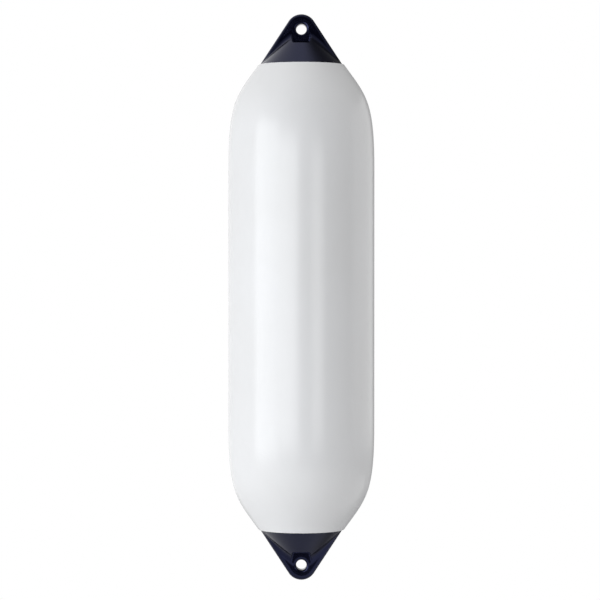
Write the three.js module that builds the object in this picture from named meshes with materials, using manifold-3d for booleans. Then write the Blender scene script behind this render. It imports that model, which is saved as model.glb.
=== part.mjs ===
// An inflatable boat fender: a white blown body, and at each end a navy rope hold,
// moulded thick and solid, whose root is gripped in the body's mouth.
// The fender hangs along Z. Its origin is the centre of the upper rope eye.
import * as THREE from "three";
import { mergeVertices } from "three/addons/utils/BufferGeometryUtils.js";
import Module from "manifold-3d";

const wasm = await Module();
wasm.setup();
const { clamp, degToRad } = THREE.MathUtils;

// Sizes in millimetres and angles in degrees.

// Body
const bodyRadius = 75;
const seamSpan = 477; // from one seam between white and navy to the other
const shoulderLength = 106; // from a seam to where the side runs straight
const taperAngle = 36; // the body's slope at its mouth, away from its long axis
const mouthPull = 39; // how far the slope at the mouth carries into the shoulder
const sidePull = 68; // how far the straight side carries into the shoulder
const lipThickness = 1.5; // the body's skin, where it ends round the rope hold
const lipRound = 0.8;

// Rope hold, with heights above its seam
const baseRadius = 42.2;
const coneSlope = 45; // the flank's slope away from the long axis
const eyeHeight = 36;
const eyeRadius = 5.4;
const eyeLip = 2; // radius of the rounded lip at each mouth of the eye
const lugRadius = 15.5; // the lug is round about the eye
const finThickness = 17;
const finRound = 4;
const blendWidth = 5; // how far fin and cone run into each other, once clear of the seam
const blendStart = 0.01; // and how far at the seam itself

// Rope channel: a recess in the front and back of the cone below the eye, from a shelf
// up to where its back wall runs out into the fin's face
const wallStand = 0.2; // how far that wall stands in front of the fin's face
const shelfHeight = 21.7;
const shelfWidth = 17.2;
const channelWidth = 21.8;
const flareHeight = 11; // from the shelf up to where the channel has its full width
const shelfRound = 1.2;

// Root of the rope hold, below its seam, inside the body's mouth
const neckDepth = 2;
const rootDepth = 12;
const fit = 0.3; // clearance between neighbouring pieces

// Air valve: a rubber plug that seals itself behind the inflating needle
const valveHeadRadius = 6;
const valveHeadThickness = 2;
const valveHeadRound = 0.6;
const valveStemRadius = 4.5;
const valveLength = 16;
const valveStemChamfer = 0.8;
const needleRadius = 1.2;
const needleDepth = 1.5;
const valveHeight = 11.4; // of the valve's middle on the flank, above the seam
const ductRadius = 2;

// Facets: round the body, round the eye and valve, and along each curve
const bodySegments = 64;
const eyeSegments = 32;
const valveSegments = 24;
const shoulderSteps = 10;
const lipSteps = 4;
const heightSteps = 12; // sections of the rope hold from its seam up to the eye
const crownSteps = 8; // and from there up the lug
const crownLand = 0.04; // the last section lies this far below the crown
// Points in each quarter of a section: round the fin's edge, along its face, round the
// fillet and on the cone. On the lug, where there is no cone, each stretch ends at its limit.
const edgeSteps = 4;
const faceSteps = 2;
const filletSteps = 4;
const coneSteps = 8;
const edgeLimit = 50;
const faceLimit = 60;
const filletLimit = 75;
const leastReach = 1.1; // how much further round each stretch reaches than the one before
const overrun = 1; // how far a cutter stands out of what it cuts
const searchPrecision = 1e-5;
const weldDistance = 1e-4;

// Sizes that follow from those above
const holdHeight = eyeHeight + lugRadius;
const finFace = finThickness / 2;
const mouthBore = baseRadius + fit;
const mouthRadius = mouthBore + lipThickness;
const taper = degToRad(taperAngle);
const rootRadius = baseRadius + (rootDepth - neckDepth) * Math.tan(taper);

const white = { color: 0xf1f1ee, roughness: 0.3, metalness: 0 };
const navy = { color: 0x1c1d35, roughness: 0.35, metalness: 0 };
const black = { color: 0x141416, roughness: 0.6, metalness: 0 };

function point(radius, height) {
  return new THREE.Vector2(radius, height);
}

// Solids from geometries and back, for the cuts

function toSolid(geometry) {
  const bare = geometry.clone();
  bare.deleteAttribute("normal");
  bare.deleteAttribute("uv");
  const merged = mergeVertices(bare, weldDistance);
  const vertProperties = new Float32Array(merged.attributes.position.array);
  const triVerts = new Uint32Array(merged.index.array);
  return new wasm.Manifold(new wasm.Mesh({ numProp: 3, vertProperties, triVerts }));
}

function toGeometry(solid) {
  const { vertProperties, triVerts } = solid.getMesh();
  const geometry = new THREE.BufferGeometry();
  geometry.setAttribute("position", new THREE.BufferAttribute(vertProperties, 3));
  geometry.setIndex(new THREE.BufferAttribute(triVerts, 1));
  geometry.computeVertexNormals();
  return geometry;
}

// The body, about the middle of its length

// One end in section, from the axis out over the lip to where the side runs straight
function bodyEndProfile() {
  const seam = seamSpan / 2;
  const slope = point(Math.sin(taper), -Math.cos(taper));
  const slant = fit / Math.cos(taper);
  const floorHeight = seam - rootDepth - fit;
  const floorRadius = rootRadius + slant + fit * Math.tan(taper);
  const throatDepth = neckDepth + (fit - slant) / Math.tan(taper);
  const lipCorner = point(mouthRadius, seam);
  const lipEnd = slope.clone().multiplyScalar(lipRound).add(lipCorner);
  const lip = new THREE.QuadraticBezierCurve(point(mouthRadius - lipRound, seam), lipCorner, lipEnd);
  const sideStart = point(bodyRadius, seam - shoulderLength);
  const shoulder = new THREE.CubicBezierCurve(
    lipEnd,
    slope.clone().multiplyScalar(mouthPull).add(lipCorner),
    sideStart.clone().add(point(0, sidePull)),
    sideStart,
  );
  return [
    point(0, floorHeight),
    point(floorRadius, floorHeight),
    point(mouthBore, seam - throatDepth),
    point(mouthBore, seam),
    ...lip.getPoints(lipSteps),
    ...shoulder.getPoints(shoulderSteps).slice(1),
  ];
}

function makeBody() {
  const upper = bodyEndProfile();
  const lower = upper.map(({ x, y }) => point(x, -y));
  return new THREE.LatheGeometry([...lower, ...upper.reverse()], bodySegments).rotateX(Math.PI / 2);
}

// The rope hold, standing on its seam: a loft through sections of one blended form

// Distance from the fin's outline, seen from the front: straight edges that run from
// the seam's rim up to the round lug, and the lug's crown. Negative is inside.
const rimDistance = Math.hypot(baseRadius, eyeHeight);
const edgeLean = Math.atan(baseRadius / eyeHeight) - Math.asin(lugRadius / rimDistance);

function outlineDistance(x, z) {
  const across = Math.abs(x);
  const rise = z - eyeHeight;
  if (rise > across * Math.tan(edgeLean)) return Math.hypot(across, rise) - lugRadius;
  return (across - baseRadius) * Math.cos(edgeLean) + z * Math.sin(edgeLean);
}

function finDistance(x, y, z) {
  const overEdge = outlineDistance(x, z) + finRound;
  const overFace = Math.abs(y) - finFace + finRound;
  const outside = Math.hypot(Math.max(overEdge, 0), Math.max(overFace, 0));
  return Math.min(Math.max(overEdge, overFace), 0) + outside - finRound;
}

function coneDistance(radius, z) {
  return (radius - coneRadiusAt(z)) * Math.cos(degToRad(coneSlope));
}

function coneRadiusAt(z) {
  return baseRadius - z * Math.tan(degToRad(coneSlope));
}

// Half the fin's width at one height
function finReachAt(z) {
  const onCrown = z - eyeHeight > lugRadius * Math.sin(edgeLean);
  if (onCrown) return Math.sqrt(lugRadius ** 2 - (z - eyeHeight) ** 2);
  return baseRadius - z * Math.tan(edgeLean);
}

// The smaller of two distances, with a fillet where they are nearly alike
function blend(a, b, width) {
  const nearness = Math.max(width - Math.abs(a - b), 0);
  return Math.min(a, b) - (nearness * nearness) / (4 * width);
}

// The fillet grows from the seam up, and never swells the fin's straight edge
function blendWidthAt(z) {
  const stepAtEdge = coneDistance(finReachAt(z), z);
  return Math.max(Math.min(blendWidth, stepAtEdge), blendStart);
}

// How far the rope hold's surface lies from its axis, in one direction at one height
function holdRadius(angle, z) {
  if (z <= 0) return rootRadiusAt(-z);
  const width = blendWidthAt(z);
  let inside = 0;
  let outside = 2 * baseRadius;
  while (outside - inside > searchPrecision) {
    const middle = (inside + outside) / 2;
    const fin = finDistance(middle * Math.cos(angle), middle * Math.sin(angle), z);
    if (blend(fin, coneDistance(middle, z), width) < 0) inside = middle;
    else outside = middle;
  }
  return inside;
}

function rootRadiusAt(depth) {
  return baseRadius + Math.max(depth - neckDepth, 0) * Math.tan(taper);
}

function steps(from, to, count) {
  return Array.from({ length: count }, (_, i) => from + ((to - from) * i) / count);
}

// Heights of the sections: the root, then even steps up to the eye, then steps that
// close up towards the crown as a circle's do
function sectionHeights() {
  const crown = steps(0, Math.PI / 2, crownSteps).map((climb) => eyeHeight + lugRadius * Math.sin(climb));
  return [-rootDepth, -neckDepth, ...steps(0, eyeHeight, heightSteps), ...crown, holdHeight - crownLand];
}

// Direction in which a circle about the axis has come as far forward as this
function angleWhere(forward, radius) {
  return Math.asin(forward / Math.max(radius, forward));
}

// Directions of a quarter section's points. From one section to the next they follow the
// fin's edge and both ends of the fillet between its face and the cone.
function quarterAngles(z) {
  const width = blendWidthAt(z);
  const coneRadius = coneRadiusAt(z);
  const offCone = coneRadius + width / Math.cos(degToRad(coneSlope));
  const roundEnd = Math.atan2(finFace, Math.max(finReachAt(z) - finRound, 0));
  const edge = Math.min(roundEnd, degToRad(edgeLimit));
  const face = clamp(angleWhere(finFace, offCone), edge * leastReach, degToRad(faceLimit));
  const fillet = clamp(angleWhere(finFace + width, coneRadius), face * leastReach, degToRad(filletLimit));
  return [
    ...steps(0, edge, edgeSteps),
    ...steps(edge, face, faceSteps),
    ...steps(face, fillet, filletSteps),
    ...steps(fillet, Math.PI / 2, coneSteps),
  ];
}

function sectionAngles(z) {
  const rising = quarterAngles(z);
  const falling = [Math.PI / 2, ...rising.slice(1).reverse()].map((angle) => Math.PI - angle);
  const half = [...rising, ...falling];
  return [...half, ...half.map((angle) => angle + Math.PI)];
}

function section(z) {
  return sectionAngles(z).map((angle) => {
    const radius = holdRadius(angle, z);
    return new THREE.Vector3(radius * Math.cos(angle), radius * Math.sin(angle), z);
  });
}

// Two faces over four corners, parted along the shorter diagonal
function quadFaces(points, [a, b, c, d]) {
  if (points[a].distanceTo(points[c]) < points[b].distanceTo(points[d])) return [a, b, c, a, c, d];
  return [a, b, d, b, c, d];
}

// A closed skin over rings of points, lowest first, with a point that closes each end
function loft(rings, foot, crown) {
  const count = rings[0].length;
  const points = [...rings.flat(), foot, crown];
  const footIndex = points.length - 2;
  const crownIndex = points.length - 1;
  const lastRing = (rings.length - 1) * count;
  const faces = [];
  for (let i = 0; i < count; i += 1) {
    const next = (i + 1) % count;
    faces.push(footIndex, next, i);
    faces.push(crownIndex, lastRing + i, lastRing + next);
    for (let start = 0; start < lastRing; start += count) {
      const corners = [start + i, start + next, start + count + next, start + count + i];
      faces.push(...quadFaces(points, corners));
    }
  }
  return new THREE.BufferGeometry().setFromPoints(points).setIndex(faces);
}

// What the channel takes off the front of the rope hold
function channelCutter() {
  const shelfHalf = shelfWidth / 2;
  const half = channelWidth / 2;
  const wall = point(half - shelfHalf, flareHeight).normalize().multiplyScalar(shelfRound);
  const top = holdHeight + overrun;
  const outline = new THREE.Shape();
  outline.moveTo(-half, top);
  outline.lineTo(-half, shelfHeight + flareHeight);
  outline.lineTo(-shelfHalf - wall.x, shelfHeight + wall.y);
  outline.quadraticCurveTo(-shelfHalf, shelfHeight, -shelfHalf + shelfRound, shelfHeight);
  outline.lineTo(shelfHalf - shelfRound, shelfHeight);
  outline.quadraticCurveTo(shelfHalf, shelfHeight, shelfHalf + wall.x, shelfHeight + wall.y);
  outline.lineTo(half, shelfHeight + flareHeight);
  outline.lineTo(half, top);
  const settings = { depth: baseRadius, bevelEnabled: false, curveSegments: lipSteps };
  return new THREE.ExtrudeGeometry(outline, settings)
    .rotateX(Math.PI / 2)
    .translate(0, -finFace - wallStand, 0);
}

// The eye, with a rounded lip at each face of the fin, about an axis along Y
function eyeCutter() {
  const mouth = eyeRadius + eyeLip;
  const lip = new THREE.EllipseCurve(mouth, eyeLip - finFace, eyeLip, eyeLip, -Math.PI / 2, -Math.PI, true);
  const start = -finFace - overrun;
  const near = [point(0, start), point(mouth, start), ...lip.getPoints(lipSteps)];
  const far = near.map(({ x, y }) => point(x, -y)).reverse();
  return new THREE.LatheGeometry([...near, ...far], eyeSegments).translate(0, 0, eyeHeight);
}

// The valve stands square to the flank, at the back
function placeOnFlank(geometry) {
  return geometry.rotateX(degToRad(coneSlope)).translate(0, coneRadiusAt(valveHeight), valveHeight);
}

// Seat for the valve's head and stem, and the air duct from there through the root
function valveBoreCutter() {
  const headSeat = -valveHeadThickness - fit;
  const stemSeat = -valveLength - fit;
  const ductEnd = -2 * baseRadius;
  const profile = [
    point(0, ductEnd),
    point(ductRadius, ductEnd),
    point(ductRadius, stemSeat),
    point(valveStemRadius + fit, stemSeat),
    point(valveStemRadius + fit, headSeat),
    point(valveHeadRadius + fit, headSeat),
    point(valveHeadRadius + fit, valveHeadRadius),
    point(0, valveHeadRadius),
  ];
  return placeOnFlank(new THREE.LatheGeometry(profile, valveSegments));
}

function makeRopeHold({ withValve }) {
  const foot = new THREE.Vector3(0, 0, -rootDepth);
  const crown = new THREE.Vector3(0, 0, holdHeight);
  const blank = toSolid(loft(sectionHeights().map(section), foot, crown));
  const channel = channelCutter();
  const cutters = [channel, channel.clone().rotateZ(Math.PI), eyeCutter()];
  if (withValve) cutters.push(valveBoreCutter());
  return toGeometry(cutters.reduce((solid, cutter) => solid.subtract(toSolid(cutter)), blank));
}

function makeValve() {
  const profile = [
    point(0, -valveLength),
    point(valveStemRadius - valveStemChamfer, -valveLength),
    point(valveStemRadius, -valveLength + valveStemChamfer),
    point(valveStemRadius, -valveHeadThickness),
    point(valveHeadRadius, -valveHeadThickness),
    point(valveHeadRadius, -valveHeadRound),
    point(valveHeadRadius - valveHeadRound, 0),
    point(needleRadius, 0),
    point(0, -needleDepth),
  ];
  return placeOnFlank(new THREE.LatheGeometry(profile, valveSegments));
}

function addPiece(parent, name, geometry, finish) {
  const mesh = new THREE.Mesh(geometry, new THREE.MeshStandardMaterial(finish));
  mesh.name = name;
  parent.add(mesh);
}

const upperEnd = new THREE.Group();
upperEnd.position.z = -eyeHeight;
addPiece(upperEnd, "upper_rope_hold", makeRopeHold({ withValve: true }), navy);
addPiece(upperEnd, "air_valve", makeValve(), black);

const middle = new THREE.Group();
middle.position.z = -eyeHeight - seamSpan / 2;
addPiece(middle, "body", makeBody(), white);

const lowerEnd = new THREE.Group();
lowerEnd.position.z = -eyeHeight - seamSpan;
lowerEnd.rotation.x = Math.PI;
addPiece(lowerEnd, "lower_rope_hold", makeRopeHold({ withValve: false }), navy);

const fender = new THREE.Group();
fender.add(middle, upperEnd, lowerEnd);
export default fender;
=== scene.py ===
import math

import bmesh
import bpy
import numpy as np
from mathutils import Matrix, Vector
from mathutils.geometry import interpolate_bezier


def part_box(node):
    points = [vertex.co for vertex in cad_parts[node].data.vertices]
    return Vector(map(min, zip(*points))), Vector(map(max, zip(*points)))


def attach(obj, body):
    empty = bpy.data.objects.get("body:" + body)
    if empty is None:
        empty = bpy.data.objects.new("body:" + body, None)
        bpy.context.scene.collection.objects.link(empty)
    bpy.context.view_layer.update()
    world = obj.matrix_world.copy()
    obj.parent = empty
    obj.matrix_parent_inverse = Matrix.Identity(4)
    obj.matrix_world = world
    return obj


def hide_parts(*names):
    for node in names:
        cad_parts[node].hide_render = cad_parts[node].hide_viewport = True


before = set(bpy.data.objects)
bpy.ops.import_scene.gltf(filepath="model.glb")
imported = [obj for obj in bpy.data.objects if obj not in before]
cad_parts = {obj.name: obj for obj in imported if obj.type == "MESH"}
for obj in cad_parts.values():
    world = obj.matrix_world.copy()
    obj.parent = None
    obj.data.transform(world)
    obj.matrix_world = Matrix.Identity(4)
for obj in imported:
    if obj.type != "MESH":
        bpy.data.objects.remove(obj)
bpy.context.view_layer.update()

# places that everything is worked out from, in metres
bodyLow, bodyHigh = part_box("body")
holdLow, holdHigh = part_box("upper_rope_hold")
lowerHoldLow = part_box("lower_rope_hold")[0]
fenderMiddle = (holdHigh.z + lowerHoldLow.z) / 2
seamRadius = 0.0422  # of the navy where it meets the white
gap = 0.0003  # between neighbouring pieces
sameSpot = 1e-7  # points nearer than this are one
wholeTurn = 2 * math.pi


# A node's output in a material, which takes part in sums
class Wire:
    def __init__(self, finish, socket):
        self.finish = finish
        self.socket = socket

    def reckon(self, operation, first, second):
        return self.finish.node("ShaderNodeMath", {"operation": operation}, {0: first, 1: second})

    def __add__(self, other):
        return self.reckon("ADD", self, other)

    def __sub__(self, other):
        return self.reckon("SUBTRACT", self, other)

    def __rsub__(self, other):
        return self.reckon("SUBTRACT", other, self)

    def __mul__(self, other):
        return self.reckon("MULTIPLY", self, other)

    def __pow__(self, other):
        return self.reckon("POWER", self, other)

    __radd__ = __add__
    __rmul__ = __mul__


# The nodes of a material or of the world
class Finish:
    def __init__(self, holder):
        self.holder = holder
        holder.use_nodes = True
        self.tree = holder.node_tree
        self.tree.nodes.clear()

    def node(self, kind, settings=None, inputs=None, output=0):
        made = self.tree.nodes.new(kind)
        settings = dict(settings or {})
        for place, (position, value) in enumerate(settings.pop("stops", [])):
            stops = made.color_ramp.elements
            stop = stops[place] if place < len(stops) else stops.new(position)
            stop.position = position
            stop.color = (value, value, value, 1)
        for name, value in settings.items():
            setattr(made, name, value)
        for name, value in (inputs or {}).items():
            if isinstance(value, Wire):
                self.tree.links.new(value.socket, made.inputs[name])
            else:
                made.inputs[name].default_value = value
        return Wire(self, made.outputs[output] if made.outputs else None)

    def place(self):
        return self.node("ShaderNodeTexCoord", output="Object")

    def noise(self, scale, detail=2.0, roughness=0.5):
        inputs = {"Vector": self.place(), "Scale": scale, "Detail": detail, "Roughness": roughness}
        return self.node("ShaderNodeTexNoise", {}, inputs)

    def ramp(self, value, low, high):
        return self.node("ShaderNodeValToRGB", {"stops": [(low, 0), (high, 1)]}, {"Fac": value})

    def mixColors(self, amount, first, second):
        inputs = {0: amount, 6: first, 7: second}
        return self.node("ShaderNodeMix", {"data_type": "RGBA"}, inputs, output=2)

    def within(self, direction, patch):  # 0 to 1 from a patch's outer edge to its inner one
        aim, low, high = patch
        inputs = {0: direction, 1: Vector(aim).normalized()}
        along = self.node("ShaderNodeVectorMath", {"operation": "DOT_PRODUCT"}, inputs, output="Value")
        inputs = {"Value": along, "From Min": low, "From Max": high}
        return self.node("ShaderNodeMapRange", {"interpolation_type": "SMOOTHSTEP"}, inputs)

    def bump(self, height, distance, normal=None):
        inputs = {"Height": height, "Distance": distance, "Strength": 1.0}
        if normal:
            inputs["Normal"] = normal
        return self.node("ShaderNodeBump", {}, inputs)

    def surface(self, shader):
        self.node("ShaderNodeOutputMaterial", {}, {"Surface": shader})
        return self.holder


def newFinish(name):
    return Finish(bpy.data.materials.new(name))


def rgb(red, green, blue):
    return (red, green, blue, 1)


whiteVinyl = {
    "tone": rgb(0.82, 0.822, 0.83),
    "warmTone": rgb(0.79, 0.79, 0.792),
    "cloudScale": 9,
    "cloudRange": (0.35, 0.7),
    "smearScale": 45,
    "gloss": 0.22,
    "glossSpread": 0.06,
    "peelScale": 330,  # the soft ripple of a blown skin
    "peelDepth": 0.00006,
    "grainScale": 1900,
    "grainDepth": 0.000012,
}


def makeWhiteVinyl(look):
    finish = newFinish("whiteVinyl")
    clouds = finish.noise(look["cloudScale"], detail=4)
    smears = finish.noise(look["smearScale"], detail=5, roughness=0.65)
    color = finish.mixColors(finish.ramp(clouds, *look["cloudRange"]), look["tone"], look["warmTone"])
    roughness = look["gloss"] + (smears - 0.5) * look["glossSpread"]
    peel = finish.noise(look["peelScale"], detail=2)
    grain = finish.noise(look["grainScale"], detail=2)
    normal = finish.bump(grain, look["grainDepth"], finish.bump(peel, look["peelDepth"]))
    shader = finish.node("ShaderNodeBsdfPrincipled", {}, {
        "Base Color": color,
        "Roughness": roughness,
        "Normal": normal,
        "Specular IOR Level": 0.5,
    })
    return finish.surface(shader)


navyVinyl = {
    "tone": rgb(0.001, 0.001, 0.0034),
    "paleTone": rgb(0.0022, 0.0024, 0.0075),
    "sheen": rgb(0.41, 0.46, 1),  # the tint of what it mirrors, seen square on
    "cloudScale": 40,
    "cloudRange": (0.4, 0.75),
    "gloss": 0.145,
    "glossSpread": 0.07,
    "flowScale": 260,  # the faint waves where the melt ran into the mould
    "flowDepth": 0.00002,
    "grainScale": 2400,
    "grainDepth": 0.0000015,
}


def makeNavyVinyl(look):
    finish = newFinish("navyVinyl")
    clouds = finish.noise(look["cloudScale"], detail=5, roughness=0.6)
    color = finish.mixColors(finish.ramp(clouds, *look["cloudRange"]), look["tone"], look["paleTone"])
    roughness = look["gloss"] + (clouds - 0.5) * look["glossSpread"]
    flow = finish.noise(look["flowScale"], detail=2)
    grain = finish.noise(look["grainScale"], detail=2)
    normal = finish.bump(grain, look["grainDepth"], finish.bump(flow, look["flowDepth"]))
    shader = finish.node("ShaderNodeBsdfPrincipled", {}, {
        "Base Color": color,
        "Roughness": roughness,
        "Normal": normal,
        "Specular IOR Level": 0.5,
        "Specular Tint": look["sheen"],
    })
    return finish.surface(shader)


blackRubber = {
    "tone": rgb(0.009, 0.009, 0.01),
    "paleTone": rgb(0.022, 0.022, 0.024),
    "speckScale": 900,
    "speckRange": (0.45, 0.75),
    "gloss": 0.58,
    "glossSpread": 0.16,
    "grainDepth": 0.00002,
}


def makeBlackRubber(look):
    finish = newFinish("blackRubber")
    specks = finish.noise(look["speckScale"], detail=4, roughness=0.7)
    color = finish.mixColors(finish.ramp(specks, *look["speckRange"]), look["tone"], look["paleTone"])
    shader = finish.node("ShaderNodeBsdfPrincipled", {}, {
        "Base Color": color,
        "Roughness": look["gloss"] + (specks - 0.5) * look["glossSpread"],
        "Normal": finish.bump(specks, look["grainDepth"]),
    })
    return finish.surface(shader)


def addPiece(name, bm, material):
    mesh = bpy.data.meshes.new(name)
    bm.to_mesh(mesh)
    bm.free()
    mesh.materials.append(material)
    piece = bpy.data.objects.new(name, mesh)
    bpy.context.scene.collection.objects.link(piece)
    return piece


def addChain(bm, points):  # a row of points joined by edges
    verts = [bm.verts.new(point) for point in points]
    edges = [bm.edges.new(pair) for pair in zip(verts, verts[1:])]
    return verts + edges


def turnProfile(points, turns):  # (radius, height) pairs, turned about Z into a closed skin
    bm = bmesh.new()
    chain = addChain(bm, [(radius, 0, height) for radius, height in points])
    bmesh.ops.spin(bm, geom=chain, axis=(0, 0, 1), cent=(0, 0, 0), steps=turns,
                   angle=wholeTurn, use_merge=True, use_duplicate=False)
    bmesh.ops.remove_doubles(bm, verts=bm.verts, dist=sameSpot)
    bmesh.ops.recalc_face_normals(bm, faces=bm.faces)
    return bm


def applyModifiers(piece):
    depsgraph = bpy.context.evaluated_depsgraph_get()
    finished = bpy.data.meshes.new_from_object(piece.evaluated_get(depsgraph))
    piece.modifiers.clear()
    piece.data = finished
    return piece


def shadeSmooth(piece):
    piece.data.polygons.foreach_set("use_smooth", [True] * len(piece.data.polygons))
    piece.data.update()


# the body's shape at each of its ends
bodyShape = {
    "shoulderLength": 0.106,
    "taper": math.radians(36),
    "mouthPull": 0.039,  # how far the shoulder's curve keeps its direction at the mouth
    "sidePull": 0.068,  # and at the straight side
    "mouthRadius": seamRadius + gap + 0.0015,
    "mouthBore": seamRadius + gap,
    "lipRound": 0.0009,
    "boreEase": 0.00015,  # of the mouth's inner edge
    "boreEaseDepth": 0.00045,
    "throatDepth": 0.0019,
    "socketDepth": bodyHigh.z - holdLow.z + gap,  # it holds the rope hold's root
    "socketRadius": holdHigh.x + 2 * gap,
    "lipPoints": 7,
    "shoulderPoints": 56,
    "turns": 224,
}


def bodyEndProfile(shape, radius):  # heights from the seam, up being out of the body
    slope = Vector((math.sin(shape["taper"]), -math.cos(shape["taper"])))
    lipCorner = Vector((shape["mouthRadius"], 0))
    lipStart = lipCorner - Vector((shape["lipRound"], 0))
    lipEnd = lipCorner + slope * shape["lipRound"]
    sideStart = Vector((radius, -shape["shoulderLength"]))
    lip = interpolate_bezier(lipStart, lipCorner, lipCorner, lipEnd, shape["lipPoints"])
    shoulder = interpolate_bezier(
        lipEnd,
        lipCorner + slope * shape["mouthPull"],
        sideStart + Vector((0, shape["sidePull"])),
        sideStart,
        shape["shoulderPoints"],
    )
    socket = [
        (0, -shape["socketDepth"]),
        (shape["socketRadius"], -shape["socketDepth"]),
        (shape["mouthBore"], -shape["throatDepth"]),
        (shape["mouthBore"], -shape["boreEaseDepth"]),
        (shape["mouthBore"] + shape["boreEase"], 0),
    ]
    return socket + [tuple(point) for point in [*lip, *shoulder[1:]]]


def makeBody(material):
    half = (bodyHigh.z - bodyLow.z) / 2
    upper = [(radius, half + height) for radius, height in bodyEndProfile(bodyShape, bodyHigh.x)]
    lower = [(radius, -height) for radius, height in upper]
    bm = turnProfile(lower + upper[::-1], bodyShape["turns"])
    bmesh.ops.translate(bm, verts=bm.verts, vec=(0, 0, bodyLow.z + half))
    return addPiece("fenderBody", bm, material)


# the rope hold, heights from the seam
holdShape = {
    "baseRadius": seamRadius,
    "coneSlope": math.radians(45),
    "eyeHeight": 0.036,
    "eyeRadius": 0.0054,
    "eyeLip": 0.002,
    "eyeLipSteps": 10,
    "eyeTurns": 96,
    "lugRadius": 0.0155,
    "finThickness": 0.017,
    "finRound": 0.004,
    "blendWidth": 0.005,  # of the fillet between fin and cone, where there is room for it
    "blendStart": 0.00001,
    "wallStand": 0.0002,  # of the channel's back wall, in front of the fin's face
    "shelfHeight": 0.0217,
    "shelfWidth": 0.0172,
    "channelWidth": 0.0218,
    "channelRise": 0.0186,  # past the eye's middle, clear of the crown
    "flareHeight": 0.011,
    "shelfRound": 0.0012,
    "shelfRoundSteps": 6,
    "neckDepth": 0.002,  # straight below the seam, before the root narrows
    "crownLand": 0.00001,
    "spokes": 384,
    "finCrowding": 0.3,  # crowds the points towards the fin's two edges
    "rings": 130,
    "halvings": 26,  # of the search for the surface on each spoke
    "voxel": 0.00056,  # keeps each rope hold under 200,000 triangles
    "softening": 5,
    "softness": 0.5,
}


def blendedDistance(shape, x, y, z):  # from the fin and the cone run together, negative inside
    rimToEye = math.hypot(shape["baseRadius"], shape["eyeHeight"])
    lean = math.atan(shape["baseRadius"] / shape["eyeHeight"]) - math.asin(shape["lugRadius"] / rimToEye)
    rise = z - shape["eyeHeight"]
    across = np.abs(x)
    edge = (across - shape["baseRadius"]) * math.cos(lean) + z * math.sin(lean)
    crown = np.hypot(across, rise) - shape["lugRadius"]
    outline = np.where(rise > across * math.tan(lean), crown, edge) + shape["finRound"]
    face = np.abs(y) - shape["finThickness"] / 2 + shape["finRound"]
    outside = np.hypot(np.maximum(outline, 0), np.maximum(face, 0))
    fin = np.minimum(np.maximum(outline, face), 0) + outside - shape["finRound"]
    coneRadius = shape["baseRadius"] - z * math.tan(shape["coneSlope"])
    cone = (np.hypot(x, y) - coneRadius) * math.cos(shape["coneSlope"])
    reach = shape["baseRadius"] - z * math.tan(lean)
    if rise > shape["lugRadius"] * math.sin(lean):
        reach = math.sqrt(shape["lugRadius"] ** 2 - rise ** 2)
    step = (reach - coneRadius) * math.cos(shape["coneSlope"])
    width = max(min(shape["blendWidth"], step), shape["blendStart"])
    nearness = np.maximum(width - np.abs(fin - cone), 0)
    return np.minimum(fin, cone) - nearness ** 2 / (4 * width)


def holdRadii(shape, angles, z):  # how far the surface lies from the axis, at one height
    inside = np.zeros_like(angles)
    outside = np.full_like(angles, 2 * shape["baseRadius"])
    for halving in range(shape["halvings"]):
        middle = (inside + outside) / 2
        within = blendedDistance(shape, middle * np.cos(angles), middle * np.sin(angles), z) < 0
        inside = np.where(within, middle, inside)
        outside = np.where(within, outside, middle)
    return inside


def holdHeights(shape):  # even steps to the eye, then closing up towards the crown
    flank = np.linspace(0, shape["eyeHeight"], shape["rings"] * 2 // 3, endpoint=False)
    climb = np.linspace(0, math.pi / 2, shape["rings"] // 3, endpoint=False)
    lug = shape["eyeHeight"] + shape["lugRadius"] * np.sin(climb)
    return [*flank, *lug, shape["eyeHeight"] + shape["lugRadius"] - shape["crownLand"]]


def makeHoldBlank(shape, rootDepth, rootRadius):  # the blended form, closed, before its cuts
    turn = np.linspace(0, wholeTurn, shape["spokes"], endpoint=False)
    angles = turn - shape["finCrowding"] * np.sin(2 * turn)
    bm = bmesh.new()
    ring = bmesh.ops.create_circle(bm, segments=shape["spokes"], radius=shape["baseRadius"])["verts"]
    edges = list({edge for vert in ring for edge in vert.link_edges})
    levels = [(-rootDepth, np.full_like(angles, rootRadius))]
    levels.append((-shape["neckDepth"], np.full_like(angles, shape["baseRadius"])))
    levels.append((0, np.full_like(angles, shape["baseRadius"])))
    levels += [(z, holdRadii(shape, angles, z)) for z in holdHeights(shape)[1:]]
    for number, (z, radii) in enumerate(levels):
        if number:
            made = bmesh.ops.extrude_edge_only(bm, edges=edges)["geom"]
            ring = [item for item in made if isinstance(item, bmesh.types.BMVert)]
            edges = [item for item in made if isinstance(item, bmesh.types.BMEdge)]
            ring.sort(key=lambda vert: math.atan2(vert.co.y, vert.co.x) % wholeTurn)
        for vert, angle, radius in zip(ring, angles, radii):
            vert.co = (radius * math.cos(angle), radius * math.sin(angle), z)
    bmesh.ops.holes_fill(bm, edges=bm.edges, sides=0)
    bmesh.ops.recalc_face_normals(bm, faces=bm.faces)
    return bm


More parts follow.
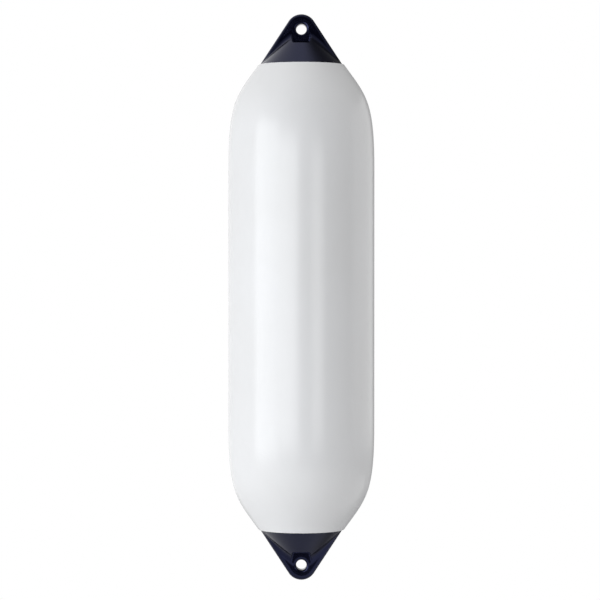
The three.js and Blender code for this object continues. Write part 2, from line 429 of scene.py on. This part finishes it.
def makeChannelCutter(shape):  # takes the front channel out of the cone
    bm = bmesh.new()
    half, shelf = shape["channelWidth"] / 2, shape["shelfWidth"] / 2
    low, bend = shape["shelfHeight"], shape["shelfHeight"] + shape["flareHeight"]
    top = shape["eyeHeight"] + shape["channelRise"]
    front = -shape["finThickness"] / 2 - shape["wallStand"]
    outline = [(-shelf, low), (shelf, low), (half, bend), (half, top), (-half, top), (-half, bend)]
    chain = addChain(bm, [(x, front, z) for x, z in outline])
    face = bmesh.ops.contextual_create(bm, geom=chain)["faces"]
    made = bmesh.ops.extrude_face_region(bm, geom=face)["geom"]
    moved = [item for item in made if isinstance(item, bmesh.types.BMVert)]
    bmesh.ops.translate(bm, verts=moved, vec=(0, -shape["baseRadius"], 0))
    ends = [(edge, edge.verts[0].co, edge.verts[1].co) for edge in bm.edges]
    corners = [edge for edge, start, end in ends  # the shelf's two, from front to back
               if max(abs(start.z - low), abs(end.z - low), abs(start.x - end.x)) < sameSpot]
    bmesh.ops.bevel(bm, geom=corners, offset=shape["shelfRound"], segments=shape["shelfRoundSteps"],
                    profile=0.5, affect="EDGES", material=-1)
    bmesh.ops.recalc_face_normals(bm, faces=bm.faces)
    return bm


def makeEyeCutter(shape):  # a spool along Y, whose rims round the eye's lips
    face, lip = shape["finThickness"] / 2, shape["eyeLip"]
    mouth = shape["eyeRadius"] + lip
    arc = [(mouth - lip * math.sin(turn), face - lip + lip * math.cos(turn))
           for turn in np.linspace(0, math.pi / 2, shape["eyeLipSteps"])]
    half = [(0, face + lip), (mouth, face + lip), *arc]
    bm = turnProfile(half + [(radius, -height) for radius, height in half[::-1]], shape["eyeTurns"])
    bmesh.ops.rotate(bm, verts=bm.verts, cent=(0, 0, 0), matrix=Matrix.Rotation(math.pi / 2, 3, "X"))
    bmesh.ops.translate(bm, verts=bm.verts, vec=(0, 0, shape["eyeHeight"]))
    return bm


# the valve, square to the flank at the back of the upper rope hold
valveShape = {
    "height": 0.0114,
    "headRadius": 0.006,
    "headThickness": 0.002,
    "headRound": 0.0006,
    "headRoundSteps": 7,
    "stemRadius": 0.0045,
    "stemChamfer": 0.0008,
    "length": 0.016,
    "seatRise": 0.006,  # how far the seat's cutter stands out of the flank
    "needleRadius": 0.0012,
    "needleTip": 0.0006,
    "needleDepth": 0.0015,
    "dishRadius": 0.00264,  # the shallow dish that guides the needle in
    "dishFoot": 0.00228,
    "dishFootDepth": 0.00015,
    "dishDepth": 0.0002,
    "turns": 72,
}


def placeOnFlank(bm):  # from the valve's own axis along Z
    reach = holdShape["baseRadius"] - valveShape["height"] * math.tan(holdShape["coneSlope"])
    lean = holdShape["coneSlope"] - math.pi / 2
    bmesh.ops.rotate(bm, verts=bm.verts, cent=(0, 0, 0), matrix=Matrix.Rotation(lean, 3, "X"))
    bmesh.ops.translate(bm, verts=bm.verts, vec=(0, reach, valveShape["height"]))
    return bm


def makeValveSeatCutter(shape):
    profile = [
        (0, -shape["length"] - gap),
        (shape["stemRadius"] + gap, -shape["length"] - gap),
        (shape["stemRadius"] + gap, -shape["headThickness"] - gap),
        (shape["headRadius"] + gap, -shape["headThickness"] - gap),
        (shape["headRadius"] + gap, shape["seatRise"]),
        (0, shape["seatRise"]),
    ]
    return placeOnFlank(turnProfile(profile, shape["turns"]))


def makeValve(material, shape):
    rounding = [(shape["headRadius"] - shape["headRound"] * (1 - math.cos(turn)),
                 -shape["headRound"] * (1 - math.sin(turn)))
                for turn in np.linspace(0, math.pi / 2, shape["headRoundSteps"])]
    profile = [
        (0, -shape["length"]),
        (shape["stemRadius"] - shape["stemChamfer"], -shape["length"]),
        (shape["stemRadius"], -shape["length"] + shape["stemChamfer"]),
        (shape["stemRadius"], -shape["headThickness"]),
        (shape["headRadius"], -shape["headThickness"]),
        *rounding,
        (shape["dishRadius"], 0),
        (shape["dishFoot"], -shape["dishFootDepth"]),
        (shape["needleRadius"], -shape["dishDepth"]),
        (shape["needleTip"], -shape["needleDepth"]),
        (0, -shape["needleDepth"]),
    ]
    bm = placeOnFlank(turnProfile(profile, shape["turns"]))
    bmesh.ops.translate(bm, verts=bm.verts, vec=(0, 0, bodyHigh.z))
    return addPiece("airValve", bm, material)


def cutOut(piece, bm):
    cutter = addPiece("cutter", bm, piece.data.materials[0])
    cut = piece.modifiers.new("cut", "BOOLEAN")
    cut.operation = "DIFFERENCE"
    cut.solver = "EXACT"
    cut.object = cutter
    applyModifiers(piece)
    bpy.data.objects.remove(cutter)


def softenEdges(piece, shape):  # even small faces all over, then every edge eased a little
    remesh = piece.modifiers.new("remesh", "REMESH")
    remesh.mode = "VOXEL"
    remesh.voxel_size = shape["voxel"]
    smooth = piece.modifiers.new("smooth", "SMOOTH")
    smooth.factor = shape["softness"]
    smooth.iterations = shape["softening"]
    applyModifiers(piece)


def makeRopeHold(name, material, withValve):
    rootDepth, rootRadius = bodyHigh.z - holdLow.z, holdHigh.x
    piece = addPiece(name, makeHoldBlank(holdShape, rootDepth, rootRadius), material)
    for turn in (0, math.pi):  # front and back
        channel = makeChannelCutter(holdShape)
        turned = Matrix.Rotation(turn, 3, "Z")
        bmesh.ops.rotate(channel, verts=channel.verts, cent=(0, 0, 0), matrix=turned)
        cutOut(piece, channel)
    cutOut(piece, makeEyeCutter(holdShape))
    if withValve:
        cutOut(piece, makeValveSeatCutter(valveShape))
    softenEdges(piece, holdShape)
    shadeSmooth(piece)
    return piece


def placeUpper(piece):
    piece.data.transform(Matrix.Translation((0, 0, bodyHigh.z)))
    return piece


def placeLower(piece):
    turned = Matrix.Rotation(math.pi, 4, "X")
    piece.data.transform(Matrix.Translation((0, 0, bodyLow.z)) @ turned)
    return piece


def dress(piece, node):
    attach(piece, "root")
    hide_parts(node)
    print("piece", piece.name, "faces", len(piece.data.polygons))


white = makeWhiteVinyl(whiteVinyl)
navy = makeNavyVinyl(navyVinyl)
rubber = makeBlackRubber(blackRubber)
print("materials made")

body = makeBody(white)
shadeSmooth(body)
dress(body, "body")

upperHold = placeUpper(makeRopeHold("upperRopeHold", navy, True))
dress(upperHold, "upper_rope_hold")

lowerHold = placeLower(makeRopeHold("lowerRopeHold", navy, False))
dress(lowerHold, "lower_rope_hold")

valve = makeValve(rubber, valveShape)
shadeSmooth(valve)
dress(valve, "air_valve")


# the photograph's camera: its frame is 600 by 600 pixels
cameraSet = {
    "distance": 2.8,
    "raised": 0.035,  # above the fender's middle
    "pixel": 0.0010271,  # metres of the fender in one pixel
    "frameWidth": 600,
    "sensor": 36,
    "fenderRight": 1.3,  # how far the fender stands from the frame's middle, in pixels
    "fenderUp": 2.67,
}


def addCamera(settings):
    data = bpy.data.cameras.new("camera")
    data.sensor_width = settings["sensor"]
    data.lens = settings["sensor"] * settings["distance"] / (settings["frameWidth"] * settings["pixel"])
    data.clip_end = 50
    camera = bpy.data.objects.new("camera", data)
    bpy.context.scene.collection.objects.link(camera)
    aside = -settings["fenderRight"] * settings["pixel"]
    aim = Vector((aside, 0, fenderMiddle - settings["fenderUp"] * settings["pixel"]))
    camera.location = (aside, -settings["distance"], fenderMiddle + settings["raised"])
    camera.rotation_euler = (aim - camera.location).to_track_quat("-Z", "Y").to_euler()
    bpy.context.scene.camera = camera


# upright softboxes round the fender: azimuth from the camera's side to the right, how far their
# middles are raised above the fender's, (width, height), brightness seen face on, and tint
lampDistance = 2.0
lamps = {
    "keyLeft": {
        "azimuth": -56, "raised": 0.12, "size": (1.42, 1.25),
        "brightness": 3.22, "tint": (0.95, 0.975, 1),
    },
    "panelLeft": {
        "azimuth": -20.5, "raised": 0.05, "size": (1.1, 0.9),
        "brightness": 3.38, "tint": (0.97, 0.985, 1),
    },
    "stripRight": {
        "azimuth": 25.5, "raised": 0, "size": (0.6, 0.72),
        "brightness": 2.5, "tint": (1, 1, 1),
    },
    "fillRight": {
        "azimuth": 118, "raised": 0.3, "size": (2.4, 1.25),
        "brightness": 0.68, "tint": (1, 1, 1),
    },
}


def addLamp(name, settings):
    data = bpy.data.lights.new(name, "AREA")
    data.shape = "RECTANGLE"
    data.size, data.size_y = settings["size"]
    data.energy = settings["brightness"] * math.pi * data.size * data.size_y
    data.color = settings["tint"]
    lamp = bpy.data.objects.new(name, data)
    bpy.context.scene.collection.objects.link(lamp)
    turn = math.radians(settings["azimuth"])
    away = Vector((math.sin(turn), -math.cos(turn), 0)) * lampDistance
    lamp.location = away + Vector((0, 0, fenderMiddle + settings["raised"]))
    lamp.rotation_euler = (-away).to_track_quat("-Z", "Y").to_euler()
    lamp.visible_camera = False


def shownToRays(finish):  # 1 for what the camera, a reflection or clear material shows
    mirrored = finish.node("ShaderNodeLightPath", output="Is Glossy Ray")
    through = finish.node("ShaderNodeLightPath", output="Is Transmission Ray")
    return finish.node("ShaderNodeLightPath", output="Is Camera Ray"), mirrored + through


# the light from all round; a patch is a direction, and the cosines of the angles from it at
# the patch's outer and inner edge
room = {
    "ambient": 0.4,
    "overhead": 0.63,  # what a panel above, a little to the left, adds
    "overheadPatch": ((-0.15, 0.1, 0.98), 0.72, 0.97),
    "cameraSide": 0.03,  # it is dark behind the camera
    "cameraSidePatch": ((0, -1, 0), 0.5, 0.9),
    "shoulder": 0.3,  # what lights the right shoulder without being mirrored
    "shoulderPatch": ((0.8, -0.15, 0.6), 0.6, 0.95),
    "highLoss": 0.75,  # the share that isn't mirrored of the room at the right rear, high up
    "highPatch": ((0.45, 0.6, 0.65), 0.7, 0.95),
    "lowLoss": 0.5,  # the same straight behind, low down
    "lowPatch": ((0.25, 0.96, 0.12), 0.93, 0.98),
    "whitePatch": ((-0.8, 0.6, 0), 0.38, 0.68),  # what is mirrored here is as white as it looks
}


def lightRoom(settings):
    world = bpy.data.worlds.new("room")
    bpy.context.scene.world = world
    finish = Finish(world)
    direction = finish.node("ShaderNodeTexCoord", output="Generated")
    overhead = finish.within(direction, settings["overheadPatch"])
    cameraSide = finish.within(direction, settings["cameraSidePatch"])
    high = finish.within(direction, settings["highPatch"])
    low = finish.within(direction, settings["lowPatch"])
    leftRear = finish.within(direction, settings["whitePatch"])
    shoulder = finish.within(direction, settings["shoulderPatch"])
    seen, mirrored = shownToRays(finish)
    unseen = (1 - mirrored) * shoulder * settings["shoulder"]
    level = settings["ambient"] + overhead * settings["overhead"] + unseen
    level = level + cameraSide * (settings["cameraSide"] - level)
    highKept = 1 - mirrored * high * settings["highLoss"]
    lowKept = 1 - mirrored * low * settings["lowLoss"]
    white = seen + mirrored * highKept * lowKept * leftRear
    strength = white + (1 - white) * level * highKept * lowKept
    sky = finish.node("ShaderNodeBackground", {}, {"Color": rgb(1, 1, 1), "Strength": strength})
    finish.node("ShaderNodeOutputWorld", {}, {"Surface": sky})


# a patch of the floor is a direction from its middle, and how far out along it, in metres, the
# patch begins and is full
floorLook = {
    "drop": 0.24,  # below the fender's lower tip
    "radius": 1.5,
    "turns": 96,
    "tone": rgb(0.84, 0.84, 0.84),
    # painted shade: the floor's tone moves towards this at its right rear, where the fender mirrors it,
    # and at its right front for all rays but the camera's, so less light is mirrored and bounced onto
    # the fender there
    "paintedShadeTone": rgb(0.25, 0.25, 0.26),  # as its right rear is mirrored
    "paintedFrontShade": 0.75,  # how much darker than it looks its right front is
    "frontPatch": ((0.6, -0.8, 0), 0.12, 0.6),
    "rightPatch": ((0.8, -0.6, 0), 0.1, 0.3),  # it is mirrored as plain white
    "rearPatch": ((0.8, 0.6, 0), 0.08, 0.32),
    "shadowShare": 0.75,  # of the real floor in what is seen, right below the fender
    "shadowFull": 0.2,
    "shadowReach": 1.1,  # past this it is plain white
    "mirrorFall": 3,  # the power that holds this white back where the floor is mirrored
}


def makeFloorFinish(look):
    finish = newFinish("floor")
    spread = finish.node("ShaderNodeVectorMath", {"operation": "MULTIPLY"},
                         {0: finish.place(), 1: (1, 1, 0)})
    away = finish.node("ShaderNodeVectorMath", {"operation": "LENGTH"}, {0: spread}, output="Value")
    fade = finish.node("ShaderNodeMapRange", {"interpolation_type": "SMOOTHSTEP"},
                       {"Value": away, "From Min": look["shadowFull"], "From Max": look["shadowReach"],
                        "To Min": look["shadowShare"], "To Max": 0})
    clear = 1 - fade
    front = finish.within(spread, look["frontPatch"])
    right = finish.within(spread, look["rightPatch"])
    seen, mirrored = shownToRays(finish)
    rear = 1 - mirrored * finish.within(spread, look["rearPatch"])
    share = 1 - seen * clear - mirrored * (right + (1 - right) * rear * clear ** look["mirrorFall"])
    # painted shade: the floor is darker at its right rear in reflections, and at its right front for all
    # rays but the camera's, while the camera sees it plain
    kept = rear * (1 - (1 - seen) * front * look["paintedFrontShade"])
    white = finish.node("ShaderNodeEmission", {}, {"Color": rgb(1, 1, 1), "Strength": 1.0})
    plain = finish.node("ShaderNodeBsdfPrincipled", {}, {
        "Base Color": finish.mixColors(kept, look["paintedShadeTone"], look["tone"]),
        "Roughness": 1.0,
        "Specular IOR Level": 0.0,
    })
    return finish.surface(finish.node("ShaderNodeMixShader", {}, {0: share, 1: white, 2: plain}))


def addFloor(look):
    bm = bmesh.new()
    bmesh.ops.create_circle(bm, cap_ends=True, segments=look["turns"], radius=look["radius"])
    bmesh.ops.translate(bm, verts=bm.verts, vec=(0, 0, lowerHoldLow.z - look["drop"]))
    floor = addPiece("floor", bm, makeFloorFinish(look))


addCamera(cameraSet)
for name, settings in lamps.items():
    addLamp(name, settings)
lightRoom(room)
addFloor(floorLook)
bpy.context.scene.view_settings.view_transform = "Standard"
print("camera, lamps and floor set")
